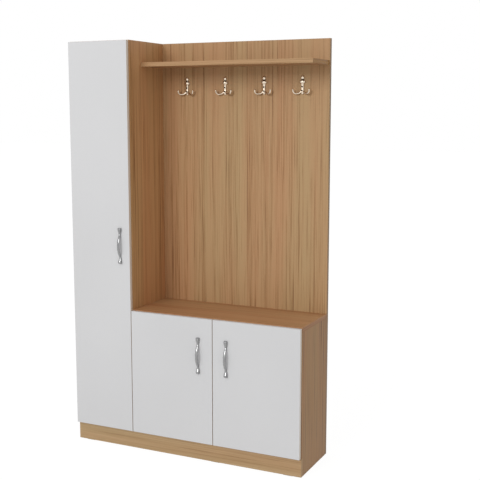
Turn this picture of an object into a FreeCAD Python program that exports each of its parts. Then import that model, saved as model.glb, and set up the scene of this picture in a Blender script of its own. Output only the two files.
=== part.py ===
import FreeCAD, Part
import math
import os

Vector = FreeCAD.Vector
Rotation = FreeCAD.Rotation
Placement = FreeCAD.Placement

# Every length is in millimetres.
# The unit is laid out from its left outer side, the front edges of its sides and the floor:
# x runs to the right, y runs to the wall and z runs up.
# At the end it is moved so that its origin is the middle of its footprint, on the floor.

# Whole unit
overall_width = 1100.0
overall_height = 1800.0
cabinet_depth = 284.0
board = 18.0
tall_width = 300.0
bench_height = 636.0
edge_bevel = 0.6

# Base
plinth_height = 80.0
plinth_setback = 2.0
glide_height = 2.0
glide_length = 40.0
glide_width = 14.0
glide_inset = 30.0
rear_rail_inset = 12.0
block_size = 24.0
block_chamfer = 14.0
block_inset = 60.0

# Doors
door_thickness = 16.0
door_gap = 1.5
door_reveal = 1.5
door_bottom_reveal = 3.5
tall_door_top_reveal = 2.0
low_door_top_reveal = 3.5
bumper_size = 8.0
bumper_inset = 30.0

# Shelves inside the cabinets, and the angles that carry the loose ones
shelf_side_gap = 0.8
shelf_front_inset = 24.0
shelf_rear_gap = 4.0
tall_fixed_shelf_share = 0.556
tall_loose_shelf_shares = (0.228, 0.4, 0.8)
low_shelf_share = 0.56
support_leg = 14.0
support_ledge = 11.0
support_width = 16.0
support_thickness = 2.5
support_gusset = 3.5
support_front_line = 60.0
support_rear_line = 50.0

# Thin back of the tall cabinet, held in grooves
thin_back = 3.0
groove_width = 3.4
groove_depth = 8.0
groove_inset = 12.0
thin_back_play = 0.6

# Hat shelf
hat_shelf_depth = 188.0
hat_shelf_drop = 108.0
hat_shelf_end_inset = 4.0

# Running clearance of pins, play behind the hinge cups, and how far a cut runs past a face
pin_play = 0.04
pocket_play = 0.3
overrun = 2.0

# Bow handles
handle_length = 160.0
handle_projection = 21.0
handle_end_half_width = 8.2
handle_neck_half_width = 4.8
handle_middle_half_width = 6.0
handle_end_half_thickness = 4.4
handle_bar_half_thickness = 3.6
handle_sides = 10
tall_handle_edge_inset = 48.0
tall_handle_height = 919.0
low_left_handle_edge_inset = 67.0
low_right_handle_edge_inset = 65.0
low_handle_height = 471.0

# Coat hooks
hook_place_shares = (0.158, 0.394, 0.628, 0.849)
hook_drop = 43.0
hook_height = 78.0
hook_cap_radius = 12.0
hook_stem_radius = 5.6
hook_finial_radius = 7.2
hook_axis_offset = 3.0
hook_depth_share = 0.62
hook_prong_radius = 2.7
hook_prong_bend = 13.0
hook_prong_reach = 27.0
hook_prong_root = 4.0
hook_prong_turn = 165.0
hook_prong_steps = 4
hook_prong_sides = 8
hook_sides = 14
hook_prong_forward_angle = 24.0
hook_tip_radius = 4.0

# Concealed hinges
hinge_end_inset = 100.0
tall_hinge_count = 3
low_hinge_count = 2
cup_radius = 17.5
cup_wall = 1.1
cup_depth = 12.0
cup_edge_distance = 5.0
cup_flange = 0.8
cup_flange_width = 2.5
cup_cavity_sides = 8
cup_ear_radius = 6.0
cup_ear_offset = 9.5
cup_ear_spacing = 45.0
hinge_pin_radius = 1.5
hinge_link_half_width = 5.0
hinge_link_half_thickness = 1.1
hinge_link_bow = 9.0
hinge_eye_radius = 2.75
hinge_eye_sides = 8
hinge_link_steps = 6
hinge_arm_half_width = 7.5
hinge_arm_wall = 1.2
hinge_arm_length = 62.0
hinge_nose_radius = 3.6
arm_pin_height = 19.5
arm_pin_setback = 6.3
cup_pin_offset = 9.4
cup_pin_depth = 3.5
plate_thickness = 2.4
plate_rail_half_width = 5.6
rail_height = 7.2
plate_wing_half_width = 8.5
plate_wing_spacing = 32.0
plate_line = 37.0
plate_rail_front = 24.0
plate_rail_rear = 60.0

# Wall brackets under the top of the tall cabinet
bracket_leg = 32.0
bracket_width = 20.0
bracket_thickness = 2.0
bracket_hole_radius = 2.75
bracket_inset = 50.0
bracket_hole_share = 0.6

# Sizes worked out from the ones above
tall_depth = cabinet_depth + board
niche_left = tall_width
niche_width = overall_width - tall_width
low_middle = tall_width + niche_width / 2
deck_top = plinth_height + board
bench_underside = bench_height - board
door_back = -door_gap
door_front = door_back - door_thickness
niche_wall = cabinet_depth
hat_shelf_height = overall_height - hat_shelf_drop
hook_top = hat_shelf_height - hook_drop
front_reach = door_front - handle_projection
footprint_middle = (front_reach + tall_depth) / 2
thin_back_front = tall_depth - groove_inset - (groove_width + thin_back) / 2
cup_centre = cup_edge_distance + cup_radius
panel_face = board - door_reveal
arm_pivot_x = panel_face + arm_pin_height
arm_pivot_y = arm_pin_setback
cup_pivot_x = cup_centre - cup_pin_offset
cup_pivot_y = door_back - cup_pin_depth

X = Vector(1, 0, 0)
Y = Vector(0, 1, 0)
Z = Vector(0, 0, 1)

boards = {}
cuts = {}
groups = {}


# Basic shapes and bookkeeping

def block(x0, x1, y0, y1, z0, z1):
    return Part.makeBox(x1 - x0, y1 - y0, z1 - z0, Vector(x0, y0, z0))


def rod(radius, start, end):
    direction = end - start
    return Part.makeCylinder(radius, direction.Length, start, direction)


def add_board(name, x0, x1, y0, y1, z0, z1):
    boards[name] = block(x0, x1, y0, y1, z0, z1)


def cut_from(name, tool):
    cuts.setdefault(name, []).append(tool)


def add_to(group, solid):
    groups.setdefault(group, []).append(solid)


def placed(shape, origin, x_axis, z_axis):
    y_axis = z_axis.cross(x_axis)
    matrix = FreeCAD.Matrix(
        x_axis.x, y_axis.x, z_axis.x, origin.x,
        x_axis.y, y_axis.y, z_axis.y, origin.y,
        x_axis.z, y_axis.z, z_axis.z, origin.z,
        0, 0, 0, 1)
    copy = shape.copy()
    copy.Placement = Placement(matrix)
    return copy


def prism(points, height):
    """Extrude an outline of (x, y) points along z, half to each side."""
    outline = [Vector(x, y, -height / 2) for x, y in points]
    outline.append(outline[0])
    face = Part.Face(Part.makePolygon(outline))
    return face.extrude(Vector(0, 0, height))


def fused(shapes):
    whole = shapes[0].fuse(shapes[1:])
    return whole.removeSplitter()


def ring(centre, across, up, half_width, half_height, sides):
    """Corners of a regular figure drawn on an ellipse."""
    corners = []
    for number in range(sides):
        turn = 2 * math.pi * (number + 0.5) / sides
        corners.append(
            centre + across * (half_width * math.cos(turn)) + up * (half_height * math.sin(turn)))
    return corners


def skin(rings):
    """A solid with flat facets through rings that have equal numbers of corners."""
    outlines = [rings[0], rings[-1]]
    for lower, upper in zip(rings, rings[1:]):
        for number in range(len(lower)):
            following = (number + 1) % len(lower)
            outlines.append([lower[number], lower[following], upper[following]])
            outlines.append([lower[number], upper[following], upper[number]])
    shell = Part.Shell([Part.Face(Part.makePolygon(o + o[:1])) for o in outlines])
    shell.sewShape()
    solid = Part.Solid(shell)
    if solid.Volume < 0:
        solid.reverse()
    return solid.removeSplitter()


# Boards of the tall cabinet

def tall_cabinet():
    left, right = 0, tall_width
    inner_left, inner_right = board, tall_width - board
    for name, x0, x1 in (
            ("tall_side_left", left, inner_left), ("tall_side_right", inner_right, right)):
        add_board(name, x0, x1, 0, tall_depth, glide_height, overall_height)
        notch(name, x0, x1)
    add_board(
        "tall_top_panel", inner_left, inner_right, 0, tall_depth,
        overall_height - board, overall_height)
    add_board("tall_bottom_panel", inner_left, inner_right, 0, tall_depth, plinth_height, deck_top)
    fixed_top = overall_height * tall_fixed_shelf_share
    loose_rear = thin_back_front
    add_board(
        "tall_fixed_shelf", inner_left, inner_right, shelf_front_inset, loose_rear,
        fixed_top - board, fixed_top)

    for number, share in enumerate(tall_loose_shelf_shares, 1):
        loose_shelf(
            "tall_shelf_%d" % number, "tall_shelf_supports", inner_left, inner_right,
            loose_rear, overall_height * share)


def notch(name, x0, x1):
    """Room for the plinth board at the foot of a side."""
    cut_from(name, block(
        x0 - overrun, x1 + overrun, -overrun, plinth_setback + board, 0, plinth_height))


def loose_shelf(name, supports, inner_left, inner_right, rear, underside):
    """A shelf that rests on an angle near each of its corners."""
    add_board(
        name, inner_left + shelf_side_gap, inner_right - shelf_side_gap,
        shelf_front_inset, rear - shelf_rear_gap, underside, underside + board)
    thick = support_thickness
    angle = prism([
        (0, 0), (support_ledge, 0), (support_ledge, thick), (thick + support_gusset, thick),
        (thick, thick + support_gusset), (thick, support_leg), (0, support_leg)], support_width)
    for y in (support_front_line, rear - support_rear_line):
        add_to(supports, placed(angle, Vector(inner_left, y, underside), X, Y))
        add_to(supports, placed(angle, Vector(inner_right, y, underside), -X, -Y))


# The thin back of the tall cabinet and the grooves that hold it

def thin_back_panel():
    y0 = thin_back_front
    groove_y0 = y0 - (groove_width - thin_back) / 2
    groove_y1 = groove_y0 + groove_width
    reach = groove_depth - thin_back_play
    inner_left, inner_right = board, tall_width - board
    boards["tall_back_panel"] = block(
        inner_left - reach, inner_right + reach, y0, y0 + thin_back,
        deck_top - reach, overall_height - board + reach)
    groove = block(
        inner_left - groove_depth, inner_right + groove_depth, groove_y0, groove_y1,
        deck_top - groove_depth, overall_height - board + groove_depth)
    for name in ("tall_side_left", "tall_side_right", "tall_top_panel", "tall_bottom_panel"):
        cut_from(name, groove)


# Boards of the low cabinet, which the bench top closes

def low_cabinet():
    left, right = tall_width, overall_width
    inner_left, inner_right = left + board, right - board
    divider_left, divider_right = low_middle - board / 2, low_middle + board / 2
    for name, x0, x1 in (
            ("low_side_left", left, inner_left), ("low_side_right", inner_right, right)):
        add_board(name, x0, x1, 0, cabinet_depth, glide_height, bench_underside)
        notch(name, x0, x1)
    add_board("bench_top", left, right, 0, cabinet_depth, bench_underside, bench_height)
    add_board(
        "low_bottom_panel", inner_left, inner_right, 0, cabinet_depth, plinth_height, deck_top)
    add_board(
        "low_divider", divider_left, divider_right, 0, cabinet_depth, deck_top, bench_underside)

    underside = bench_height * low_shelf_share
    loose_shelf(
        "low_shelf_left", "low_shelf_supports", inner_left, divider_left, cabinet_depth, underside)
    loose_shelf(
        "low_shelf_right", "low_shelf_supports", divider_right, inner_right, cabinet_depth, underside)


# Plinth boards, corner blocks and glides

def base():
    add_board(
        "plinth_front", 0, overall_width, plinth_setback, plinth_setback + board,
        glide_height, plinth_height)
    rear_y1 = cabinet_depth - rear_rail_inset
    add_board(
        "plinth_rear_tall", board, tall_width - board, rear_y1 - board, rear_y1,
        glide_height, plinth_height)
    add_board(
        "plinth_rear_low", tall_width + board, overall_width - board, rear_y1 - board, rear_y1,
        glide_height, plinth_height)
    add_board(
        "plinth_cross_rail", low_middle - board / 2, low_middle + board / 2,
        plinth_setback + board, rear_y1 - board, glide_height, plinth_height)

    block_profile = prism([
        (0, 0), (block_size, 0), (block_size, block_size - block_chamfer),
        (block_size - block_chamfer, block_size), (0, block_size)], block_size)
    front_y = plinth_setback + board
    block_places = (
        board + block_inset, tall_width - board - block_inset,
        tall_width + board + block_inset, overall_width - board - block_inset)
    for x in block_places:
        add_to("corner_blocks", placed(block_profile, Vector(x, front_y, plinth_height), Y, -X))
        add_to("corner_blocks", placed(
            block_profile, Vector(x, rear_y1 - board, plinth_height), -Y, X))

    rear = cabinet_depth - glide_inset
    front = plinth_setback + board + glide_inset
    middle = plinth_setback + board / 2
    for x in (board / 2, tall_width - board / 2, tall_width + board / 2, overall_width - board / 2):
        for y in (front, rear):
            add_to("floor_glides", glide(x, y, glide_width, glide_length))
    for x in (glide_inset * 2, low_middle, overall_width - glide_inset * 2):
        add_to("floor_glides", glide(x, middle, glide_length, glide_width))


def glide(x, y, width, length):
    return block(x - width / 2, x + width / 2, y - length / 2, y + length / 2, 0, glide_height)


# The niche: its back panel and the hat shelf

def niche():
    add_board(
        "niche_back_panel", niche_left, overall_width, niche_wall, niche_wall + board,
        glide_height, overall_height)
    add_board(
        "hat_shelf", niche_left, overall_width - hat_shelf_end_inset,
        niche_wall - hat_shelf_depth, niche_wall, hat_shelf_height, hat_shelf_height + board)


# Steel angles under the top of the tall cabinet, with holes for the wall screws

def wall_brackets():
    underside = overall_height - board
    wall_face = thin_back_front
    thick = bracket_thickness
    hole_level = underside - bracket_leg * bracket_hole_share
    angle = prism([
        (0, 0), (bracket_leg, 0), (bracket_leg, thick), (thick, thick), (thick, bracket_leg),
        (0, bracket_leg)], bracket_width)
    for x in (board + bracket_inset, tall_width - board - bracket_inset):
        hole = rod(
            bracket_hole_radius, Vector(x, wall_face - overrun * 2, hole_level),
            Vector(x, tall_depth, hole_level))
        bracket = placed(angle, Vector(x, wall_face, underside), -Y, X)
        add_to("wall_brackets", bracket.cut(hole))
        cut_from("tall_back_panel", hole)


# Coat hooks: a moulded post in relief with a flat back, and two curled prongs below

def coat_hook():
    """The origin is at the hook's lowest point on the wall; -y is the room."""
    height = hook_height
    cap = hook_cap_radius
    stem = hook_stem_radius
    ball = hook_finial_radius
    groove = height - ball * 2.15
    rim = groove - cap * 0.6
    outline = (
        (stem * 0.7, 0), (stem * 1.3, height * 0.12), (stem * 0.85, height * 0.3),
        (stem, rim - cap), (cap * 0.75, rim - cap * 0.4), (cap, rim),
        (cap * 0.85, rim + cap * 0.3), (ball * 0.6, groove),
        (ball * 0.92, height - ball * 1.5), (ball, height - ball),
        (ball * 0.75, height - ball * 0.36), (ball * 0.25, height))
    axis = Vector(0, -hook_axis_offset, 0)
    post = skin([
        ring(axis + Z * h, X, Y, r, r * hook_depth_share, hook_sides) for r, h in outline])
    prongs = [hook_prong(side) for side in (-1, 1)]
    body = post.fuse(prongs)
    behind_wall = block(-cap * 4, cap * 4, 0, cap * 4, -cap, height + cap)
    return body.cut(behind_wall)


def hook_prong(side):
    """Round bar bent up at its outer end, where it swells to a rounded tip."""
    bend = hook_prong_bend
    bar = hook_prong_radius
    tip = hook_tip_radius
    lean = math.radians(hook_prong_forward_angle)
    outward = Vector(side * math.cos(lean), -math.sin(lean), 0)
    sideways = Z.cross(outward)
    inner_reach = hook_prong_reach - hook_prong_root
    centre = Vector(0, -hook_axis_offset, bar + bend) + outward * hook_prong_reach
    rings = []
    for number in range(hook_prong_steps + 1):
        turn = math.radians(-hook_prong_turn * (1 - number / hook_prong_steps))
        across = math.cos(turn)
        place = outward * across * (inner_reach if across < 0 else bend) + Z * bend * math.sin(turn)
        radial = outward * across + Z * math.sin(turn)
        rings.append(ring(centre + place, radial, sideways, bar, bar, hook_prong_sides))
    end = centre + outward * bend
    for rise, radius in ((0.6, 1), (1.3, 0.8), (1.7, 0.3)):
        rings.append(ring(
            end + Z * tip * rise, outward, sideways, tip * radius, tip * radius, hook_prong_sides))
    return skin(rings)


def coat_hooks():
    for number, share in enumerate(hook_place_shares, 1):
        hook = coat_hook()
        hook.translate(Vector(niche_left + niche_width * share, niche_wall, hook_top - hook_height))
        boards["coat_hook_%d" % number] = hook


# Bow handle: many-sided ellipses joined along a bow whose ends meet the door.
# The origin is at the handle's middle on the door's face and -y is the room.

def handle_bow():
    half = handle_length / 2
    thick = handle_bar_half_thickness
    end_thick = handle_end_half_thickness
    end_width = handle_end_half_width
    top = handle_projection - thick
    sections = [
        (1.0, 0, end_width * 0.75, end_thick * 0.5),
        (0.95, end_thick * 0.3, end_width, end_thick * 0.8),
        (0.7, top * 0.42, end_width * 0.85, end_thick),
        (0.6, top * 0.62, handle_neck_half_width, thick * 0.9),
        (0.35, top * 0.9, handle_neck_half_width * 1.15, thick * 0.95),
        (0, top, handle_middle_half_width, thick)]
    mirrored = [(-share, y, width, thickness) for share, y, width, thickness in sections[-2::-1]]
    bow = skin([
        ring(Vector(0, -y, half * share), X, Y, width, thickness, handle_sides)
        for share, y, width, thickness in sections + mirrored])
    behind_door = block(
        -handle_length, handle_length, 0, handle_length, -handle_length, handle_length)
    return bow.cut(behind_door)


def fit_handle(prefix, x, z):
    bow = handle_bow()
    bow.translate(Vector(x, door_front, z))
    boards[prefix + "_handle"] = bow


# Concealed hinges, modelled for a door that is hung on its left edge.
# The origin is at the door's hinge edge, on the line of the cabinet's front edges.

def hinge_cup():
    """Pressed cup with a flat flange, two wings and the pin that carries the link."""
    back = door_back
    half = cup_radius + cup_flange_width
    corner = half * (math.sqrt(2) - 1)
    wing = cup_ear_offset
    tip = cup_ear_spacing / 2 + cup_ear_radius
    side = [
        (-half, corner), (-corner, half), (wing - cup_ear_radius, half),
        (wing - cup_ear_radius / 2, tip), (wing + cup_ear_radius / 2, tip),
        (wing + cup_ear_radius, (half + corner) / 2), (half, corner)]
    outline = side + [(x, -z) for x, z in reversed(side)]
    flange = placed(
        prism(outline, cup_flange), Vector(cup_centre, back + cup_flange / 2, 0), X, -Y)
    body = flange.fuse(rod(
        cup_radius - pin_play, Vector(cup_centre, back, 0), Vector(cup_centre, back - cup_depth, 0)))
    floor = back - cup_depth + cup_wall
    cavity_top = back + cup_flange + overrun
    half_cavity = cup_radius - cup_wall / 2
    cavity = skin([
        ring(Vector(cup_centre, y, 0), X, Z, half_cavity, half_cavity, cup_cavity_sides)
        for y in (floor, cavity_top)])
    body = body.cut(cavity)
    outer_side = cup_pin_offset + hinge_pin_radius
    reach = math.sqrt((cup_radius - cup_wall / 2) ** 2 - outer_side ** 2)
    pin = rod(
        hinge_pin_radius, Vector(cup_pivot_x, cup_pivot_y, -reach),
        Vector(cup_pivot_x, cup_pivot_y, reach))
    return body.fuse(pin)


def hinge_link():
    """A bowed strip with an eye at each end, between the arm's pin and the cup's pin."""
    start = Vector(arm_pivot_x, arm_pivot_y, 0)
    end = Vector(cup_pivot_x, cup_pivot_y, 0)
    along = end - start
    across = Z.cross(along).normalize()
    middle = (start + end) / 2 + across * hinge_link_bow
    half = hinge_link_half_thickness
    radius = arc_radius(along.Length, hinge_link_bow)
    centre = middle - across * radius
    first = start - centre
    sweep = 4 * math.atan2(2 * hinge_link_bow, along.Length)
    outer = []
    inner = []
    for number in range(hinge_link_steps + 1):
        spoke = Rotation(Z, -math.degrees(sweep) * number / hinge_link_steps).multVec(first)
        outer.append(centre + spoke * ((radius + half) / radius))
        inner.append(centre + spoke * ((radius - half) / radius))
    outline = [(p.x, p.y) for p in outer + inner[::-1]]
    strip = prism(outline, 2 * hinge_link_half_width)
    eye = hinge_eye_radius
    ends = Z * hinge_link_half_width
    eyes = [
        skin([ring(p + e, X, Y, eye, eye, hinge_eye_sides) for e in (-ends, ends)])
        for p in (start, end)]
    link = fused([strip] + eyes)
    for p in (start, end):
        link = link.cut(rod(hinge_pin_radius + pin_play, p - ends * 2, p + ends * 2))
    return link


def arc_radius(chord, rise):
    return (chord ** 2 / 4 + rise ** 2) / (2 * rise)


def hinge_arm():
    """A folded channel that clips over the mounting plate, with the front pin in its cheeks."""
    half = hinge_arm_half_width
    wall = hinge_arm_wall
    nose = hinge_nose_radius
    top = arm_pivot_x + nose
    base = panel_face + plate_thickness
    low_top = base + rail_height + wall
    rear = hinge_arm_length
    body = prism([
        (arm_pivot_x - nose, arm_pivot_y), (arm_pivot_x - nose * 0.7, arm_pivot_y - nose * 0.7),
        (arm_pivot_x, arm_pivot_y - nose), (arm_pivot_x + nose * 0.7, arm_pivot_y - nose * 0.7),
        (top, arm_pivot_y), (top, arm_pivot_y + nose * 2), (low_top, plate_rail_front),
        (low_top, rear), (base, rear), (base, plate_rail_front - nose)], 2 * half)
    channel = prism([
        (panel_face - overrun, -cup_radius), (top + overrun, -cup_radius),
        (top + overrun, arm_pivot_y + nose * 1.2), (top - wall, arm_pivot_y + nose * 2),
        (low_top - wall, plate_rail_front), (low_top - wall, rear - wall),
        (panel_face - overrun, rear - wall)], 2 * (half - wall))
    body = body.cut(channel)
    pin_end = Vector(arm_pivot_x, arm_pivot_y, half - wall / 2)
    pin_start = Vector(arm_pivot_x, arm_pivot_y, wall / 2 - half)
    return body.fuse(rod(hinge_pin_radius, pin_start, pin_end))


def mounting_plate():
    """A cross-shaped plate on the side, with a rail that fills the arm's channel."""
    x0 = panel_face
    x1 = x0 + plate_thickness
    wide = plate_wing_half_width
    reach = plate_wing_spacing / 2
    outline = [
        (-wide, -reach), (-wide / 2, -reach - wide), (wide / 2, -reach - wide), (wide, -reach),
        (wide, reach), (wide / 2, reach + wide), (-wide / 2, reach + wide), (-wide, reach)]
    wings = placed(
        prism(outline, plate_thickness), Vector((x0 + x1) / 2, plate_line, 0), Y, X)
    rail = block(
        x0, x1 + rail_height, plate_rail_front, plate_rail_rear,
        -plate_rail_half_width, plate_rail_half_width)
    return fused([wings, rail])


def fit_hinge(prefix, edge_x, hand, z):
    """Place one hinge; hand is 1 for a door hung on its left edge and -1 for its right."""

    def put(shape):
        moved = shape if hand > 0 else shape.mirror(Vector(0, 0, 0), X)
        moved = moved.copy()
        moved.translate(Vector(edge_x, 0, z))
        return moved

    add_to(prefix + "_hinge_cups", put(hinge_cup()))
    add_to(prefix + "_hinge_links", put(hinge_link()))
    add_to("hinge_arms", put(hinge_arm()))
    add_to("hinge_plates", put(mounting_plate()))
    cut_from(prefix + "_door", put(rod(
        cup_radius, Vector(cup_centre, door_back + overrun, 0),
        Vector(cup_centre, door_back - cup_depth - pocket_play, 0))))


def hang_door(prefix, x0, x1, hand, z0, z1, hinges):
    name = prefix + "_door"
    slab = block(x0, x1, door_front, door_back, z0, z1)
    front_edges = [e for e in slab.Edges if e.BoundBox.YMax < door_front + overrun * 0.01]
    boards[name] = slab.makeChamfer(edge_bevel, front_edges)
    edge_x = x0 if hand > 0 else x1
    step = (z1 - z0 - 2 * hinge_end_inset) / (hinges - 1)
    for number in range(hinges):
        fit_hinge(prefix, edge_x, hand, z0 + hinge_end_inset + number * step)


def doors():
    bottom = plinth_height + door_bottom_reveal
    tall_top = overall_height - tall_door_top_reveal
    low_top = bench_height - low_door_top_reveal
    tall_x0, tall_x1 = door_reveal, tall_width - door_reveal
    left_x0, left_x1 = tall_width + door_reveal, low_middle - door_reveal
    right_x0, right_x1 = low_middle + door_reveal, overall_width - door_reveal
    hang_door("tall", tall_x0, tall_x1, 1, bottom, tall_top, tall_hinge_count)
    hang_door("low_left", left_x0, left_x1, 1, bottom, low_top, low_hinge_count)
    hang_door("low_right", right_x0, right_x1, -1, bottom, low_top, low_hinge_count)
    fit_handle("tall", tall_width - tall_handle_edge_inset, tall_handle_height)
    fit_handle("low_left", low_middle - low_left_handle_edge_inset, low_handle_height)
    fit_handle("low_right", low_middle + low_right_handle_edge_inset, low_handle_height)
    bumper_lines = (
        (tall_width - board / 2, bottom, tall_top), (low_middle - board / 4, bottom, low_top),
        (low_middle + board / 4, bottom, low_top))
    for x, z0, z1 in bumper_lines:
        for z in (z0 + bumper_inset, z1 - bumper_inset):
            half = bumper_size / 2
            add_to("door_bumpers", block(x - half, x + half, door_back, 0, z - half, z + half))


# Writing the pieces

def write(name, shape):
    moved = shape.copy()
    moved.translate(Vector(-overall_width / 2, -footprint_middle, 0))
    moved.exportStep("parts/%s.step" % name)


def main():
    os.makedirs("parts", exist_ok=True)
    tall_cabinet()
    thin_back_panel()
    low_cabinet()
    base()
    niche()
    wall_brackets()
    coat_hooks()
    doors()
    for name, shape in boards.items():
        tools = cuts.get(name, [])
        write(name, shape.cut(tools) if tools else shape)
    for name, solids in groups.items():
        write(name, Part.makeCompound(solids))
    print(len(boards) + len(groups), "nodes")


main()
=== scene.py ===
import math

import bmesh
import bpy
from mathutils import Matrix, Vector


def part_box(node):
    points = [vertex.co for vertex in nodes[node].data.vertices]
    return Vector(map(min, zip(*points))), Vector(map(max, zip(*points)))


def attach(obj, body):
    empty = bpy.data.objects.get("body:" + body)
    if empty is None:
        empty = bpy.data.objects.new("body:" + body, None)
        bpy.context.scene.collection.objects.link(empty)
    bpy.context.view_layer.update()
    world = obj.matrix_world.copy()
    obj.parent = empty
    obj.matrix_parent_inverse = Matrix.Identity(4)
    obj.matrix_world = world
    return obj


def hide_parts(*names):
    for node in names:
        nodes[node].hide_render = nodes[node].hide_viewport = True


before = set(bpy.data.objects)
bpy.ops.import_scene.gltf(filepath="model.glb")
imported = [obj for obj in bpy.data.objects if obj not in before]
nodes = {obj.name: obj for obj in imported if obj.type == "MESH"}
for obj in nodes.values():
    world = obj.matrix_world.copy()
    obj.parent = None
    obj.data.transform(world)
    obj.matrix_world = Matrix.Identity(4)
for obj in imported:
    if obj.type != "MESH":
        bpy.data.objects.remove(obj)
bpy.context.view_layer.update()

# Lengths are in millimetres unless a comment says otherwise, and mm turns them to metres.
mm = 0.001
X = Vector((1, 0, 0))
Y = Vector((0, 1, 0))
Z = Vector((0, 0, 1))

# Camera: the photograph's width in pixels, and what a fit to the unit's corners gives, with
# its place in metres and its angles in radians
photo_width = 480
focal_pixels = 909.12
sensor_width = 36.0
camera_place = Vector((1.85795, -3.47008, 1.50252))
camera_tilt = 0.1412
camera_turn = 0.4436

# Studio: places and lengths in metres, power in watts
floor_half = 30.0
floor_colour = "#E6E6E6"
floor_white = 1.09
floor_white_share = 0.86
world_light = 0.63
lamp_place = (-1.5, -9.6, 5.1)
lamp_target = (0, 0, 0.9)
lamp_side = 4.0
lamp_power = 384

# Doors, with 1 where the hinges are at the left and -1 where they are at the right
doors = {"tall": 1, "low_left": 1, "low_right": -1}

# Boards, with the direction of the grain on each. A board's number here gives its seed, unless
# its bands were placed as in the photograph, with a seed of its own.
board_grain = {
    "niche_back_panel": "Z", "tall_side_left": "Z", "tall_side_right": "Z",
    "low_side_left": "Z", "low_side_right": "Z", "low_divider": "Z", "tall_back_panel": "Z",
    "bench_top": "X", "hat_shelf": "X", "plinth_front": "X", "plinth_rear_tall": "X",
    "plinth_rear_low": "X", "tall_top_panel": "X", "tall_bottom_panel": "X",
    "tall_fixed_shelf": "X", "tall_shelf_1": "X", "tall_shelf_2": "X", "tall_shelf_3": "X",
    "low_bottom_panel": "X", "low_shelf_left": "X", "low_shelf_right": "X",
    "plinth_cross_rail": "Y"}
seed_step = 3.7
board_seeds = {"tall_side_right": 549.94, "low_side_right": 319.61, "bench_top": 978.05}

# Tints are gains of linear red, green and blue. Boards with a tint and a contrast of their own:
plain = (1.0, 1.0, 1.0)
# The warmer tints of the niche side and the bench top are painted warm shade from light bounced
# between the boards, and the darker tint of the low right side is painted shade on that side. The
# other tints are the boards' own tones.
board_tones_and_painted_shade = {
    "niche_back_panel": ((1.0, 1.03, 1.08), 1.0), "tall_side_right": ((1.17, 1.1, 1.09), 1.0),
    "low_side_right": ((0.776, 0.704, 0.55), 1.6), "bench_top": ((1.0, 0.93, 0.96), 0.8),
    "hat_shelf": ((1.02, 1.06, 1.14), 0.8), "plinth_front": ((1.12, 1.34, 1.6), 0.5)}

# Edge bands on the end faces of the boards and on the doors' sides, and painted shade on the
# niche back's sides
# The end bands' tint is partly their own darker tone and partly painted shade.
end_band_and_shade_tint = (0.84, 0.76, 0.62)
# The hat shelf's end is darkened further as painted shade.
end_band_and_shade_tints = {"hat_shelf": (0.78, 0.63, 0.25)}
painted_side_shade_tints = {"niche_back_panel": (0.56, 0.54, 0.54)}
door_band_tint = (1.08, 0.95, 0.8)

# A face is an end face where the share of its normal along the grain is over the first number.
# A side's band comes in between the two shares of its normal along X.
end_share = 0.7
side_shares = (0.8, 0.95)

# Width of the painted shade along the niche's back, which darkens each board towards the corner,
# and its tint
corner_painted_shade = {
    "bench_top": (40.0, (0.86, 0.79, 0.69)), "tall_side_right": (24.0, (0.94, 0.88, 0.83))}

# Walnut print. Each layer: pitch across the grain, length along it, offset of its seed, and
# detail of its noise. Real fibres and pores are about 0.3 mm wide; they are drawn coarser here
# so that they show.
sway_layer = (160.0, 900.0, 7.0, 1.0)
hue_layer = (110.0, 1500.0, 205.8, 2.0)
band_layer = (34.0, 3000.0, 996.6, 2.0)
stripe_layer = (9.0, 1300.0, 382.55, 3.0)
streak_layer = (5.0, 380.0, 9.2, 1.0)
fibre_layer = (2.4, 200.0, 4.1, 2.0)
pore_layer = (1.2, 14.0, 5.9, 1.0)
grain_roughness = 0.55
sway_reach = 8.0
leaf_width = 106.0
leaf_start = 0.92
leaf_seed_share = 0.37
seam_width = 3.0
streak_range = (0.3, 0.42)
warm_walnut = ((0.15, "#7F5534"), (0.35, "#976C43"), (0.5, "#A77A50"), (0.75, "#B6895F"))
yellow_walnut = ((0.15, "#7D5A38"), (0.35, "#957248"), (0.5, "#A48156"), (0.75, "#B39165"))

# Sawn pine: the same four numbers for its rings
pine_layer = (4.0, 160.0, 1.5, 2.0)

# Painted shade in the groove under a hook's ball: colour, height above the floor, half its width,
# and the shares of that between which it fades
groove_painted_shade = "#40342A"
groove_height = 1632.2
groove_half = 3.4
groove_fade = (0.7, 1.2)

# Least and greatest roughness of plated metal, as shares of the one it is given
plate_roughness_shares = (0.7, 1.5)

# Rounding of the edges of boards and doors. The imported boards have split corners, which a
# weld joins first.
board_round = 0.5
weld_distance = 0.01


# Colours and materials

def linear(code):
    """An sRGB hex value as linear red, green, blue and alpha."""
    values = [int(code[i:i + 2], 16) / 255 for i in (1, 3, 5)]
    curve = [v / 12.92 if v <= 0.04045 else ((v + 0.055) / 1.055) ** 2.4 for v in values]
    return (*curve, 1.0)


def tinted(stops, tint=plain):
    """Stops of (place, hex colour) with linear colours, each times a tint."""
    return [
        (place, [value * gain for value, gain in zip(linear(code), (*tint, 1.0))])
        for place, code in stops]


def add_node(owner, kind, inputs=None, links=None, stops=(), **settings):
    """Add a node, set its inputs and settings, link its inputs to other sockets, and give a
    colour ramp its stops."""
    tree = owner.node_tree
    node = tree.nodes.new(kind)
    for name, value in settings.items():
        setattr(node, name, value)
    for name, value in (inputs or {}).items():
        node.inputs[name].default_value = value
    for name, source in (links or {}).items():
        tree.links.new(source, node.inputs[name])
    if stops:
        elements = node.color_ramp.elements
        while len(elements) < len(stops):
            elements.new(1.0)
        for element, (place, colour) in zip(elements, stops):
            element.position = place
            element.color = colour
    return node


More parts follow.
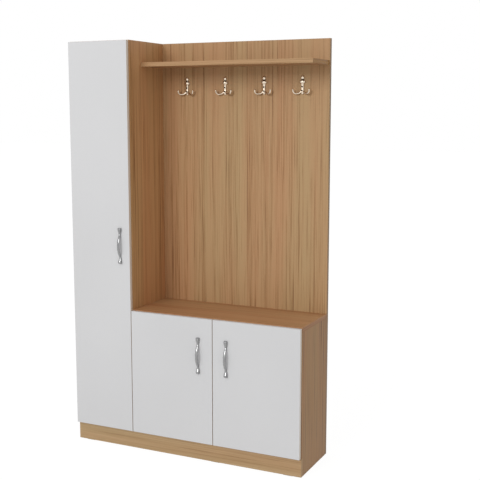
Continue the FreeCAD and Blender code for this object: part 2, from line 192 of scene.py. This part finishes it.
def new_material(name, **inputs):
    """A material with one principled shader, whose plain inputs are set on its own sockets."""
    material = bpy.data.materials.new(name)
    material.use_nodes = True
    shader = material.node_tree.nodes["Principled BSDF"]
    for socket, value in inputs.items():
        shader.inputs[socket.replace("_", " ")].default_value = value
    return material, shader


def join(owner, source, socket):
    """Link two sockets."""
    owner.node_tree.links.new(source, socket)


def dress(material, shader, colour, gloss, roughness, relief, depth):
    """Give a finish its colour, a roughness between two values and a relief of a real depth."""
    spread = add_node(
        material, "ShaderNodeMapRange", {"To Min": roughness[0], "To Max": roughness[1]},
        {"Value": gloss})
    raised = add_node(
        material, "ShaderNodeBump", {"Strength": 1.0, "Distance": depth * mm},
        {"Height": relief})
    join(material, colour, shader.inputs["Base Color"])
    join(material, spread.outputs["Result"], shader.inputs["Roughness"])
    join(material, raised.outputs["Normal"], shader.inputs["Normal"])
    return material


def sum_of(material, parts):
    """Weighted sum of 0 to 1 sockets about their middle, again about 0.5."""
    total = 0.5 - sum(weight for source, weight in parts) / 2
    for source, weight in parts:
        node = add_node(
            material, "ShaderNodeMath", {1: weight}, {0: source}, operation="MULTIPLY_ADD")
        if isinstance(total, float):
            node.inputs[2].default_value = total
        else:
            join(material, total, node.inputs[2])
        total = node.outputs[0]
    return total


def coordinates(material, source):
    """The three axes of the surface's place in the object, or of its normal."""
    place = add_node(material, "ShaderNodeTexCoord").outputs[source]
    return add_node(material, "ShaderNodeSeparateXYZ", {}, {"Vector": place}).outputs


def facing(material, axis):
    """How far a surface faces along an axis, either way."""
    normal = coordinates(material, "Normal")[axis]
    return add_node(
        material, "ShaderNodeMath", {}, {0: normal}, operation="ABSOLUTE").outputs[0]


def x_facing_sides(material):
    """1 on the sides that face along X: the doors' long edges have their band there, and the
    niche back's sides their painted shade.
    """
    low, high = side_shares
    return add_node(
        material, "ShaderNodeMapRange", {"From Min": low, "From Max": high},
        {"Value": facing(material, "X")}).outputs["Result"]


def near_corner(material, width):
    """Up to 1 towards the niche's back, where painted shade darkens the corner."""
    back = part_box("niche_back_panel")[0][1]
    return add_node(
        material, "ShaderNodeMapRange", {"From Min": back - width * mm, "From Max": back},
        {"Value": coordinates(material, "Object")["Y"]}).outputs["Result"]


def speckle(material, pitch, detail=2.0):
    """Even noise with a pitch in millimetres."""
    place = add_node(material, "ShaderNodeTexCoord").outputs["Object"]
    return add_node(
        material, "ShaderNodeTexNoise", {"Scale": 1 / (pitch * mm), "Detail": detail},
        {"Vector": place}).outputs["Fac"]


def grain_noise(material, across, along, layer, seed=0.0):
    """Noise drawn out along the grain, as one layer of it says."""
    pitch, length, offset, detail = layer
    sides = []
    for source, size in ((across, pitch), (along, length)):
        scaled = add_node(
            material, "ShaderNodeMath", {1: 1 / (size * mm)}, {0: source}, operation="MULTIPLY")
        sides.append(scaled.outputs[0])
    place = add_node(
        material, "ShaderNodeCombineXYZ", {"Z": seed + offset}, {"X": sides[0], "Y": sides[1]})
    return add_node(
        material, "ShaderNodeTexNoise",
        {"Scale": 1.0, "Detail": detail, "Roughness": grain_roughness},
        {"Vector": place.outputs[0]}).outputs["Fac"]


def board_axes(material, board, grain):
    """Distance along and across the grain, and 1 on an end face, whose edge band runs its
    long way."""
    low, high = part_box(board)
    short_side, long_side = sorted(
        (axis for axis in "XYZ" if axis != grain),
        key=lambda axis: high["XYZ".index(axis)] - low["XYZ".index(axis)])
    axes = coordinates(material, "Object")
    at_end = add_node(
        material, "ShaderNodeMath", {1: end_share}, {0: facing(material, grain)},
        operation="GREATER_THAN").outputs[0]
    along = add_node(
        material, "ShaderNodeMix", {}, {"Factor": at_end, "A": axes[grain], "B": axes[long_side]},
        data_type="FLOAT").outputs["Result"]
    girth = add_node(
        material, "ShaderNodeMath", {}, {0: axes[short_side], 1: axes[long_side]},
        operation="ADD").outputs[0]
    across = add_node(
        material, "ShaderNodeMix", {}, {"Factor": at_end, "A": girth, "B": axes[short_side]},
        data_type="FLOAT").outputs["Result"]
    return along, across, at_end


def walnut_laminate(board, grain, seed):
    """Printed walnut decor on particle board, pressed with a matt plate. Leaves about a hand
    wide, in which reddish and yellowish bands carry fine stripes, short dark streaks and pores.
    Edge bands are darker, partly as their own tone and partly as painted shade. The niche back's
    sides and the strip along the niche's back are darkened as painted shade, and some boards'
    tints are painted shade too."""
    material, shader = new_material(
        "walnut_laminate_" + board, IOR=1.55, Specular_IOR_Level=0.3)
    tint, contrast = board_tones_and_painted_shade.get(board, (plain, 1.0))
    along, across, at_end = board_axes(material, board, grain)
    sway = grain_noise(material, across, along, sway_layer, seed)
    bent = add_node(
        material, "ShaderNodeMath", {1: sway_reach * mm}, {0: sway, 2: across},
        operation="MULTIPLY_ADD").outputs[0]
    leaf = add_node(
        material, "ShaderNodeMath",
        {1: 1 / (leaf_width * mm), 2: leaf_start + seed * leaf_seed_share}, {0: bent},
        operation="MULTIPLY_ADD").outputs[0]
    leaf_number = add_node(
        material, "ShaderNodeMath", {}, {0: leaf}, operation="FLOOR").outputs[0]
    leaf_tone = add_node(
        material, "ShaderNodeTexWhiteNoise", {}, {"W": leaf_number},
        noise_dimensions="1D").outputs["Value"]
    in_leaf = add_node(material, "ShaderNodeMath", {}, {0: leaf}, operation="FRACT").outputs[0]
    seam = add_node(
        material, "ShaderNodeMapRange", {"From Max": seam_width / leaf_width},
        {"Value": in_leaf}).outputs["Result"]
    hue, band, stripe, fibre, pore, streak = (
        grain_noise(material, bent, along, layer, seed) for layer in (
            hue_layer, band_layer, stripe_layer, fibre_layer, pore_layer, streak_layer))
    streak = add_node(
        material, "ShaderNodeMapRange",
        {"From Min": streak_range[0], "From Max": streak_range[1]},
        {"Value": streak}).outputs["Result"]
    tone = sum_of(material, [(source, weight * contrast) for source, weight in (
        (band, 0.62), (stripe, 1.4), (leaf_tone, 0.09), (fibre, 0.95), (pore, 0.2),
        (streak, 0.3), (seam, 0.16))])
    warm, yellow = (
        add_node(material, "ShaderNodeValToRGB", {}, {"Fac": tone}, tinted(stops, tint))
        for stops in (warm_walnut, yellow_walnut))
    yellowness = sum_of(material, ((leaf_tone, 0.3), (hue, 2.9)))
    colour = add_node(
        material, "ShaderNodeMix", {},
        {"Factor": yellowness, "A": warm.outputs["Color"], "B": yellow.outputs["Color"]},
        data_type="RGBA").outputs["Result"]
    tints_and_painted_shade = [(at_end, end_band_and_shade_tints.get(board, end_band_and_shade_tint))]
    if board in painted_side_shade_tints:
        tints_and_painted_shade.append((x_facing_sides(material), painted_side_shade_tints[board]))
    # Painted shade: the board darkens towards the niche's back.
    if board in corner_painted_shade:
        width, shade = corner_painted_shade[board]
        tints_and_painted_shade.append((near_corner(material, width), shade))
    # Multiply in the end bands' tint, which is partly painted shade, and the painted shade on the
    # niche back's sides and along the niche's back.
    for place, multiplier in tints_and_painted_shade:
        colour = add_node(
            material, "ShaderNodeMix", {"B": (*multiplier, 1.0)}, {"Factor": place, "A": colour},
            data_type="RGBA", blend_type="MULTIPLY").outputs["Result"]
    relief = sum_of(material, ((fibre, 0.6), (pore, 0.8)))
    return dress(
        material, shader, colour, gloss=fibre, roughness=(0.42, 0.6), relief=relief, depth=0.06)


def white_melamine():
    """White melamine film with a fine pearl surface: nearly even, with a soft sheen. The edge
    band on the long edges is a warmer white. The pearl is drawn coarser than the real one,
    which is under half a millimetre."""
    material, shader = new_material("white_melamine", IOR=1.5)
    cloud = speckle(material, pitch=420.0, detail=1.0)
    pearl = speckle(material, pitch=1.6)
    tone = sum_of(material, ((cloud, 0.5), (pearl, 0.25)))
    film = add_node(
        material, "ShaderNodeValToRGB", {}, {"Fac": tone},
        tinted(((0.3, "#D2D2D3"), (0.5, "#D5D5D6"), (0.7, "#D8D8D9"))))
    colour = add_node(
        material, "ShaderNodeMix", {"B": (*door_band_tint, 1.0)},
        {"Factor": x_facing_sides(material), "A": film.outputs["Color"]},
        data_type="RGBA", blend_type="MULTIPLY").outputs["Result"]
    return dress(
        material, shader, colour, gloss=pearl, roughness=(0.38, 0.5), relief=pearl, depth=0.02)


def plated(name, code, dark_code, roughness, wear_pitch=9.0, shaded_groove=False):
    """Plated metal: bright, with faint hazy spots where hands and cloths have worn it, fine
    scratches drawn wider than real ones, and, where asked, painted shade in the hooks' groove."""
    material, shader = new_material(name, Metallic=1.0)
    haze = speckle(material, wear_pitch, detail=3.0)
    scratch = speckle(material, pitch=0.7, detail=1.0)
    plate = add_node(
        material, "ShaderNodeValToRGB", {}, {"Fac": haze},
        tinted(((0.35, dark_code), (0.6, code))))
    colour = plate.outputs["Color"]
    # Painted shade: a dark band around the post at the groove's height.
    if shaded_groove:
        above = add_node(
            material, "ShaderNodeMath", {1: -groove_height * mm},
            {0: coordinates(material, "Object")["Z"]}, operation="ADD").outputs[0]
        away = add_node(
            material, "ShaderNodeMath", {}, {0: above}, operation="ABSOLUTE").outputs[0]
        outside_groove = add_node(
            material, "ShaderNodeMapRange",
            {"From Min": groove_half * groove_fade[0] * mm,
             "From Max": groove_half * groove_fade[1] * mm}, {"Value": away})
        colour = add_node(
            material, "ShaderNodeMix", {"A": linear(groove_painted_shade)},
            {"Factor": outside_groove.outputs["Result"], "B": colour}, data_type="RGBA").outputs["Result"]
    gloss = sum_of(material, ((haze, 0.7), (scratch, 0.3)))
    least, greatest = (roughness * share for share in plate_roughness_shares)
    return dress(
        material, shader, colour, gloss=gloss, roughness=(least, greatest), relief=scratch,
        depth=0.004)


def moulded_plastic(name, code, dark_code, roughness=0.45):
    """Injection-moulded plastic: a spark-eroded texture, drawn coarser than the real one, and
    faint clouds from the flow in the mould."""
    material, shader = new_material(name, IOR=1.49)
    texture = speckle(material, pitch=0.8)
    flow = speckle(material, pitch=22.0)
    body = add_node(
        material, "ShaderNodeValToRGB", {}, {"Fac": flow},
        tinted(((0.3, dark_code), (0.65, code))))
    return dress(
        material, shader, body.outputs["Color"], gloss=texture,
        roughness=(roughness - 0.08, roughness + 0.12), relief=texture, depth=0.03)


def sawn_pine():
    """Sawn pine: pale, with yellow late wood and a rough face."""
    material, shader = new_material("sawn_pine", IOR=1.5)
    axes = coordinates(material, "Object")
    rings = grain_noise(material, axes["Y"], axes["X"], pine_layer)
    saw = speckle(material, pitch=1.2)
    wood = add_node(
        material, "ShaderNodeValToRGB", {}, {"Fac": rings},
        tinted(((0.35, "#C79C62"), (0.5, "#D9B984"), (0.7, "#E2C898"))))
    return dress(
        material, shader, wood.outputs["Color"], gloss=saw, roughness=(0.6, 0.8), relief=saw,
        depth=0.12)


# Finishes: film on the doors, plated metals from bright to dull, moulded plastics and pine.
# The hooks' plate has the warm cast that the photograph shows.
melamine = white_melamine()
chrome = plated("chrome_plate", "#9B9B9B", "#929293", roughness=0.17, wear_pitch=24.0)
bright_chrome = plated(
    "bright_chrome_plate", "#E2D3BF", "#D3C3AE", roughness=0.26, shaded_groove=True)
nickel = plated("nickel_plate", "#B4B1AA", "#98958E", roughness=0.26)
zinc = plated("zinc_plate", "#AEB4BA", "#8D949B", roughness=0.36, wear_pitch=5.0)
screw_steel = plated("screw_steel", "#9C9A94", "#7C7A75", roughness=0.3, wear_pitch=3.0)
dark_steel = plated("dark_screw_steel", "#2E2A27", "#1F1C1A", roughness=0.45, wear_pitch=3.0)
brown_plastic = moulded_plastic("brown_nylon", "#8C6746", "#7A583B")
cap_plastic = moulded_plastic("cam_cap_plastic", "#A98460", "#997553")
glide_plastic = moulded_plastic("glide_polyethylene", "#CFCFCB", "#C2C2BD")
pad_rubber = moulded_plastic("bumper_polyurethane", "#DADAD6", "#CFCFCA", roughness=0.3)
pine = sawn_pine()


def finish_node(name, material, round_off=0.0):
    """Give a CAD node its finish, and round its sharp edges where asked."""
    node = nodes[name]
    node.data.materials.clear()
    node.data.materials.append(material)
    if round_off:
        weld = node.modifiers.new("weld", "WELD")
        weld.merge_threshold = weld_distance * mm
        edge = node.modifiers.new("edge", "BEVEL")
        edge.width = round_off * mm
        edge.segments = 2
        edge.limit_method = "ANGLE"


def finish_nodes():
    """Finish every CAD node that stays in view."""
    for number, (board, grain) in enumerate(board_grain.items()):
        seed = board_seeds.get(board, number * seed_step)
        finish_node(board, walnut_laminate(board, grain, seed), board_round)
    for door in doors:
        finish_node(door + "_door", melamine, board_round)
        finish_node(door + "_hinge_cups", nickel)
        finish_node(door + "_hinge_links", nickel)
    for name, material in (
            ("hinge_arms", nickel), ("hinge_plates", nickel), ("wall_brackets", zinc),
            ("floor_glides", glide_plastic), ("door_bumpers", pad_rubber),
            ("tall_shelf_supports", brown_plastic), ("low_shelf_supports", brown_plastic),
            ("corner_blocks", pine)):
        finish_node(name, material)


# Mesh making

def new_piece(name, shape, material, body):
    """Turn a bmesh into an object that rides on a body."""
    mesh = bpy.data.meshes.new(name)
    bmesh.ops.recalc_face_normals(shape, faces=shape.faces)
    shape.to_mesh(mesh)
    shape.free()
    mesh.materials.append(material)
    mesh.shade_smooth()
    piece = bpy.data.objects.new(name, mesh)
    bpy.context.scene.collection.objects.link(piece)
    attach(piece, body)
    return piece


def corners_of(name):
    """Lowest and highest corner of a node's box."""
    low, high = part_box(name)
    return Vector(low), Vector(high)


def add_rings(shape, rings):
    """Skin rings of points with quads and close both ends."""
    loops = [[shape.verts.new(point) for point in ring] for ring in rings]
    for lower, upper in zip(loops, loops[1:]):
        for number in range(len(lower)):
            following = (number + 1) % len(lower)
            shape.faces.new((lower[number], lower[following], upper[following], upper[number]))
    shape.faces.new(loops[0])
    shape.faces.new(loops[-1])


def oval(centre, across, up, half_width, half_height, sides, fullness=1.0):
    """Points of an ellipse; a fullness under 1 squares it up."""
    points = []
    for number in range(sides):
        turn = 2 * math.pi * number / sides
        a, b = (
            math.copysign(abs(value) ** fullness, value)
            for value in (math.cos(turn), math.sin(turn)))
        points.append(centre + across * (half_width * a) + up * (half_height * b))
    return points


def cut_at(limit, points):
    """Points of a ring with none behind a limit along Y, which leaves its back flat."""
    return [Vector((p.x, min(p.y, limit), p.z)) for p in points]


def rounded(stops, steps):
    """Rows of a smooth curve through rows of stops."""
    points = []
    last = len(stops) - 1
    for number in range(last):
        before = stops[max(number - 1, 0)]
        start, end = stops[number], stops[number + 1]
        after = stops[min(number + 2, last)]
        for step in range(steps):
            t = step / steps
            points.append(tuple(
                0.5 * (2 * b + (c - a) * t + (2 * a - 5 * b + 4 * c - d) * t * t
                       + (3 * b - a - 3 * c + d) * t ** 3)
                for a, b, c, d in zip(before, start, end, after)))
    points.append(stops[-1])
    return points


# Bow handles: cast zinc, with wide feet, slender necks and a full middle. Each stop of the
# upper half: share of the half length, height of the middle line as a share of the reach,
# half width as a share of the node's, half thickness as a share of the reach.
handle_stops = (
    (0.0, 0.83, 0.73, 0.17), (0.12, 0.815, 0.725, 0.169), (0.24, 0.75, 0.7, 0.165),
    (0.36, 0.63, 0.65, 0.158), (0.48, 0.45, 0.59, 0.15), (0.56, 0.3, 0.54, 0.143),
    (0.62, 0.2, 0.54, 0.145), (0.68, 0.155, 0.64, 0.17), (0.76, 0.185, 0.78, 0.225),
    (0.85, 0.255, 0.9, 0.285), (0.92, 0.3, 0.97, 0.313), (0.96, 0.3, 0.99, 0.312),
    (0.985, 0.27, 0.96, 0.28), (1.0, 0.21, 0.86, 0.2))
handle_steps = 5
handle_sides = 28
handle_fullness = 0.75
handle_length_share = 0.98


def bow_handle(door):
    """One smooth casting from foot to foot, flat where it meets the door."""
    low, high = corners_of(door + "_handle")
    middle = (low + high) / 2
    half_length = (high.z - low.z) / 2 * handle_length_share
    half_width = (high.x - low.x) / 2
    reach = high.y - low.y
    face = high.y
    upper = rounded(handle_stops, handle_steps)
    lower = [(-share, *sizes) for share, *sizes in reversed(upper[1:])]
    rings = []
    for share, rise, width, thickness in lower + upper:
        centre = Vector((middle.x, face - reach * rise, middle.z + half_length * share))
        rings.append(cut_at(face, oval(
            centre, X, Y, half_width * width, reach * thickness, handle_sides,
            handle_fullness)))
    shape = bmesh.new()
    add_rings(shape, rings)
    piece = new_piece(door + "_bow_handle", shape, chrome, door + "_door_leaf")
    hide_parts(door + "_handle")


# Coat hooks: a turned post with a cap and a ball, flat at the back, and two curled prongs.
# Each stop of the post: radius in millimetres, share of the height.
hook_outline = (
    (0.6, 0.0), (3.2, 0.006), (4.9, 0.04), (6.9, 0.1), (7.3, 0.14), (6.6, 0.2),
    (6.0, 0.27), (5.8, 0.34), (5.8, 0.44), (6.0, 0.5), (6.8, 0.545), (8.9, 0.585),
    (11.4, 0.612), (12.4, 0.64), (12.6, 0.68), (12.3, 0.715), (10.8, 0.737),
    (7.2, 0.754), (4.6, 0.77), (4.2, 0.79), (5.0, 0.812), (6.7, 0.85), (7.2, 0.905),
    (6.5, 0.95), (4.4, 0.985), (0.8, 1.0))
hook_count = 4
hook_steps = 3
hook_sides = 40
hook_axis_offset = 3.0
relief_share = 0.62

# Screws of a hook: share of its height and radius of the post there, how deep they are let in,
# and their radius and rise
hook_screw_places = ((0.19, 6.7), (0.41, 5.8))
hook_screw_depth = 0.3
hook_screw_sizes = (3.5, 1.2)

# Prongs: radius of the bend, of the bar and of the ball tip; where they leave the post and how
# far out the bend's middle is; lean and turn in degrees; the bar's extra thickness at its root
prong_bend, prong_bar, prong_tip = 13.0, 3.3, 4.0
prong_root, prong_reach = 4.0, 27.0
prong_lean, prong_turn = 24.0, 168.0
prong_taper = 0.15
prong_steps = 30
prong_sides = 20

# Rings of the ball tip, as shares of its radius, with the share that its middle lies down into
# the bar, and the least radius at its end as a share of the bar's
tip_shares = (0.35, 0.7, 1.0, 1.3, 1.6, 1.85)
tip_drop = 0.2
tip_end_share = 0.5


def coat_hook(number):
    """A hook with its two screws."""
    low, high = corners_of("coat_hook_%d" % number)
    wall = high.y
    height = high.z - low.z
    centre = Vector(((low.x + high.x) / 2, wall - hook_axis_offset * mm, low.z))
    shape = bmesh.new()
    add_rings(shape, [
        cut_at(wall, oval(
            centre + Z * (height * share), X, Y, radius * mm, radius * relief_share * mm,
            hook_sides))
        for radius, share in rounded(hook_outline, hook_steps)])
    for side in (-1, 1):
        add_prong(shape, centre, side)
    piece = new_piece("coat_hook_%d_cast" % number, shape, bright_chrome, "carcass")
    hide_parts("coat_hook_%d" % number)
    screws = bmesh.new()
    for share, radius in hook_screw_places:
        relief = radius * relief_share - hook_screw_depth
        add_screw(
            screws, centre + Z * (height * share) - Y * (relief * mm), -Y, *hook_screw_sizes)
    new_piece("coat_hook_%d_screws" % number, screws, dark_steel, "carcass")


def add_prong(shape, foot, side):
    """A round bar that leaves the post, dips and curls up to a ball tip."""
    lean = math.radians(prong_lean)
    outward = Vector((side * math.cos(lean), -math.sin(lean), 0))
    sideways = Z.cross(outward)
    rings = []
    for step in range(prong_steps + 1):
        left = 1 - step / prong_steps
        turn = math.radians(-prong_turn * left)
        across, rise = math.cos(turn), math.sin(turn)
        width = prong_reach - prong_root if across < 0 else prong_bend
        place = (
            outward * (prong_reach + across * width)
            + Z * (prong_bar + prong_bend + rise * prong_bend))
        along = (outward * (-rise * width) + Z * (across * prong_bend)).normalized()
        radius = prong_bar * (1 + prong_taper * left)
        rings.append(oval(
            foot + place * mm, along.cross(sideways), sideways, radius * mm, radius * mm,
            prong_sides))
    end = outward * (prong_reach + prong_bend) + Z * (prong_bar + prong_bend)
    for share in tip_shares:
        least = prong_bar * tip_end_share if share > 1 else prong_bar
        radius = max(prong_tip * math.cos(math.pi * (share / 2 - 0.5)), least)
        rings.append(oval(
            foot + (end + Z * (prong_tip * (share - tip_drop))) * mm, -outward, sideways,
            radius * mm, radius * mm, prong_sides))
    add_rings(shape, rings)


# Screws: radius and rise of the usual head, its rings and spokes, the share by which its crown
# is domed, and how far its rim is let in. The cross recess: its reach and half its width as
# shares of the radius, and its floor as a share of the rise.
screw_radius, screw_rise = 3.4, 1.3
screw_rings, screw_spokes = 9, 32
screw_dome = 0.92
screw_sink = 0.1
recess_reach, recess_half_width, recess_floor = 0.62, 0.17, 0.45

# Caps over the cam locks: radius, rise, and the outline as shares of both
cap_radius, cap_rise = 6.5, 0.9
cap_sides = 32
cap_outline = ((1.0, -0.1), (1.0, 0.45), (0.94, 0.85), (0.84, 1.0), (0.6, 0.86), (0.2, 0.8))


def axes_across(direction):
    """Two axes across a direction."""
    side = Z if abs(direction.z) < 0.5 else X
    across = side.cross(direction).normalized()
    return across, direction.cross(across)


def add_screw(shape, seat, direction, radius=screw_radius, rise=screw_rise):
    """A low round head; the cross recess is pressed into its crown."""
    across, up = axes_across(direction)
    crown = shape.verts.new(seat + direction * (rise * recess_floor * mm))
    inner = None
    for number in range(1, screw_rings + 1):
        share = number / screw_rings
        loop = []
        for spoke in range(screw_spokes):
            turn = 2 * math.pi * spoke / screw_spokes
            a, b = share * math.cos(turn), share * math.sin(turn)
            if number == screw_rings:
                level = -screw_sink
            elif min(abs(a), abs(b)) < recess_half_width and share < recess_reach:
                level = rise * recess_floor
            else:
                level = rise * math.sqrt(1 - share ** 2 * screw_dome)
            loop.append(shape.verts.new(
                seat + across * (a * radius * mm) + up * (b * radius * mm)
                + direction * (level * mm)))
        for spoke in range(screw_spokes):
            following = (spoke + 1) % screw_spokes
            if inner is None:
                shape.faces.new((crown, loop[spoke], loop[following]))
            else:
                shape.faces.new((inner[spoke], loop[spoke], loop[following], inner[following]))
        inner = loop
    shape.faces.new(inner)


def add_cap(shape, seat, direction):
    """A thin dished cap with a rounded rim."""
    across, up = axes_across(direction)
    add_rings(shape, [
        oval(seat + direction * (cap_rise * level * mm), across, up, cap_radius * share * mm,
             cap_radius * share * mm, cap_sides) for share, level in cap_outline])


def group(name, places, material, body, slot, maker, *sizes):
    """One piece that holds the same small part at several (place, direction) pairs."""
    shape = bmesh.new()
    for place, direction in places:
        maker(shape, place, direction, *sizes)
    new_piece(name, shape, material, body)


def solids_of(name):
    """Boxes of the separate solids of a node, as (low, high, middle)."""
    shape = bmesh.new()
    shape.from_mesh(nodes[name].data)
    bmesh.ops.remove_doubles(shape, verts=shape.verts, dist=same_place)
    left = set(shape.verts)
    boxes = []
    while left:
        found = {left.pop()}
        edge = list(found)
        while edge:
            vert = edge.pop()
            for link in vert.link_edges:
                other = link.other_vert(vert)
                if other in left:
                    left.discard(other)
                    found.add(other)
                    edge.append(other)
        low = Vector([min(v.co[i] for v in found) for i in range(3)])
        high = Vector([max(v.co[i] for v in found) for i in range(3)])
        boxes.append((low, high, (low + high) / 2))
    shape.free()
    return sorted(boxes, key=lambda box: (round(box[0].x, 4), round(box[0].z, 4)))


# Boards with fittings on their right face, and how near to it a fitting counts as on it. Points
# of one solid are joined within same_place, in metres.
left_boards = ("tall_side_left", "low_side_left", "low_divider")
fitting_reach = 10.0
same_place = 1e-6

# Screws of the hinges: distance from the cup's edge nearer to the middle of the door, and half
# the spacing; thickness of the plate, half the spacing, and distance from the plate's front;
# height of the arm, and shares of its length
cup_screw_line, cup_screw_half = 10.5, 22.5
plate_thickness, plate_screw_half, plate_screw_line = 2.4, 16.0, 13.0
arm_height, arm_screw_shares = 8.4, (0.55, 0.84)

# Screws of handles (half the spacing), shelf angles (thickness, height) and wall angles
# (thickness, depth), and their radii and rises
handle_screw_half, handle_screw_sizes = 70.0, (4.0, 1.4)
angle_thickness, angle_screw_height, angle_screw_sizes = 2.5, 4.6, (2.6, 1.0)
bracket_thickness, bracket_screw_depth = 2.0, 11.0

# Caps: distance from a panel's ends, front and rear; places of the hat shelf's bolts as shares
# of its depth; and the Z and Y of the bolts between the cabinets
cap_insets = {"tall_top_panel": 34.0, "tall_fixed_shelf": 34.0, "bench_top": 52.0}
cap_front, cap_rear = 40.0, 58.0
shelf_cap_shares = (0.2, 0.62)
bolt_z, bolt_y = (220.0, 560.0), (-50.0, 90.0)


def face_on_board(low, high, thickness):
    """Outer face of a fitting on a side or the divider, and the way it looks."""
    on_left = any(
        abs(low.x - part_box(board)[1][0]) < fitting_reach * mm for board in left_boards)
    return (low.x + thickness * mm, X) if on_left else (high.x - thickness * mm, -X)


def hinge_screws():
    """Wing screws of the cups, and the screws of plates and arms."""
    for door, hand in doors.items():
        places = []
        for low, high, middle in solids_of(door + "_hinge_cups"):
            line = high.x - cup_screw_line * mm if hand > 0 else low.x + cup_screw_line * mm
            for side in (-1, 1):
                places.append((
                    Vector((line, high.y, middle.z + side * cup_screw_half * mm)), Y))
        group(door + "_cup_screws", places, screw_steel, door + "_door_leaf", "nickel_steel",
              add_screw)
    plates = []
    for low, high, middle in solids_of("hinge_plates"):
        face, way = face_on_board(low, high, plate_thickness)
        line = low.y + plate_screw_line * mm
        for side in (-1, 1):
            plates.append((Vector((face, line, middle.z + side * plate_screw_half * mm)), way))
    arms = []
    for low, high, middle in solids_of("hinge_arms"):
        face, way = face_on_board(low, high, arm_height)
        for share in arm_screw_shares:
            arms.append((Vector((face, low.y + (high.y - low.y) * share, middle.z)), way))
    group("hinge_plate_screws", plates, screw_steel, "carcass", "nickel_steel", add_screw)
    group("hinge_arm_screws", arms, screw_steel, "carcass", "nickel_steel", add_screw)


def other_screws():
    """Handle screws inside the doors, and the screws of shelf angles and wall angles."""
    for door in doors:
        low, high = corners_of(door + "_handle")
        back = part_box(door + "_door")[1][1]
        middle = (low + high) / 2
        places = [
            (Vector((middle.x, back, middle.z + side * handle_screw_half * mm)), Y)
            for side in (-1, 1)]
        group(door + "_handle_screws", places, screw_steel, door + "_door_leaf", "chrome",
              add_screw, *handle_screw_sizes)
    for cabinet in ("tall", "low"):
        places = []
        for low, high, middle in solids_of(cabinet + "_shelf_supports"):
            face, way = face_on_board(low, high, angle_thickness)
            places.append((Vector((face, middle.y, low.z + angle_screw_height * mm)), way))
        group(cabinet + "_angle_screws", places, screw_steel, "carcass", "support_plastic",
              add_screw, *angle_screw_sizes)
    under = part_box("tall_top_panel")[0][2] - bracket_thickness * mm
    places = [
        (Vector((middle.x, low.y + bracket_screw_depth * mm, under)), -Z)
        for low, high, middle in solids_of("wall_brackets")]
    group("bracket_screws", places, screw_steel, "carcass", "zinc_steel", add_screw)


def cam_caps():
    """Caps under the fixed panels, and over the bolts of the hat shelf and of the cabinets."""
    places = []
    for name, inset in cap_insets.items():
        low, high = corners_of(name)
        for x in (low.x + inset * mm, high.x - inset * mm):
            for y in (low.y + cap_front * mm, high.y - cap_rear * mm):
                places.append((Vector((x, y, low.z)), -Z))
    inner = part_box("tall_side_right")[0][0]
    low, high = corners_of("hat_shelf")
    for share in shelf_cap_shares:
        y = low.y + (high.y - low.y) * share
        places.append((Vector((inner, y, (low.z + high.z) / 2)), -X))
    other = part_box("low_side_left")[1][0]
    for z in bolt_z:
        for y in bolt_y:
            places.append((Vector((inner, y * mm, z * mm)), -X))
            places.append((Vector((other, y * mm, z * mm)), X))
    group("cam_caps", places, cap_plastic, "carcass", "support_plastic", add_cap)


# Studio: floor, world, lamp and camera

def seen_plainly(owner):
    """1 for rays from the camera or a polished surface, which see the studio as white."""
    path = add_node(owner, "ShaderNodeLightPath").outputs
    return add_node(
        owner, "ShaderNodeMath", {}, {0: path["Is Camera Ray"], 1: path["Is Glossy Ray"]},
        operation="MAXIMUM").outputs[0]


def studio_floor():
    """A pale paper floor that reads as white and keeps a soft shadow."""
    shape = bmesh.new()
    shape.faces.new([
        shape.verts.new((x * floor_half, y * floor_half, 0))
        for x, y in ((-1, -1), (1, -1), (1, 1), (-1, 1))])
    mesh = bpy.data.meshes.new("studio_floor")
    shape.to_mesh(mesh)
    shape.free()
    floor = bpy.data.objects.new("studio_floor", mesh)
    bpy.context.scene.collection.objects.link(floor)
    material, paper = new_material(
        "studio_paper", Base_Color=linear(floor_colour), Roughness=0.9, Specular_IOR_Level=0.0)
    white = add_node(
        material, "ShaderNodeEmission", {"Color": (1, 1, 1, 1), "Strength": floor_white})
    share = add_node(
        material, "ShaderNodeMath", {1: floor_white_share}, {0: seen_plainly(material)},
        operation="MULTIPLY")
    mix = add_node(
        material, "ShaderNodeMixShader", {},
        {0: share.outputs[0], 1: paper.outputs[0], 2: white.outputs[0]})
    output = material.node_tree.nodes["Material Output"]
    join(material, mix.outputs[0], output.inputs["Surface"])
    mesh.materials.append(material)


def studio_world():
    """White where the camera and polished metal see it, and an even soft light elsewhere."""
    world = bpy.data.worlds.new("studio")
    bpy.context.scene.world = world
    world.use_nodes = True
    background = world.node_tree.nodes["Background"]
    background.inputs["Color"].default_value = (1, 1, 1, 1)
    level = add_node(
        world, "ShaderNodeMapRange", {"To Min": world_light}, {"Value": seen_plainly(world)})
    join(world, level.outputs["Result"], background.inputs["Strength"])


def studio_lamp():
    """One large soft lamp high in front of the unit."""
    lamp = bpy.data.lights.new("key", "AREA")
    lamp.size = lamp_side
    lamp.energy = lamp_power
    holder = bpy.data.objects.new("key", lamp)
    holder.location = lamp_place
    way = Vector(lamp_target) - Vector(lamp_place)
    holder.rotation_euler = way.to_track_quat("-Z", "Y").to_euler()
    bpy.context.scene.collection.objects.link(holder)


def photo_camera():
    """The camera at the photograph's place and angle."""
    lens = bpy.data.cameras.new("camera")
    lens.sensor_width = sensor_width
    lens.lens = sensor_width * focal_pixels / photo_width
    camera = bpy.data.objects.new("camera", lens)
    camera.location = camera_place
    camera.rotation_euler = (math.pi / 2 - camera_tilt, 0, camera_turn)
    bpy.context.scene.collection.objects.link(camera)
    bpy.context.scene.camera = camera


finish_nodes()
for door in doors:
    bow_handle(door)
for number in range(1, hook_count + 1):
    coat_hook(number)
hinge_screws()
other_screws()
cam_caps()
studio_floor()
studio_world()
studio_lamp()
photo_camera()
bpy.context.scene.view_settings.view_transform = "Standard"
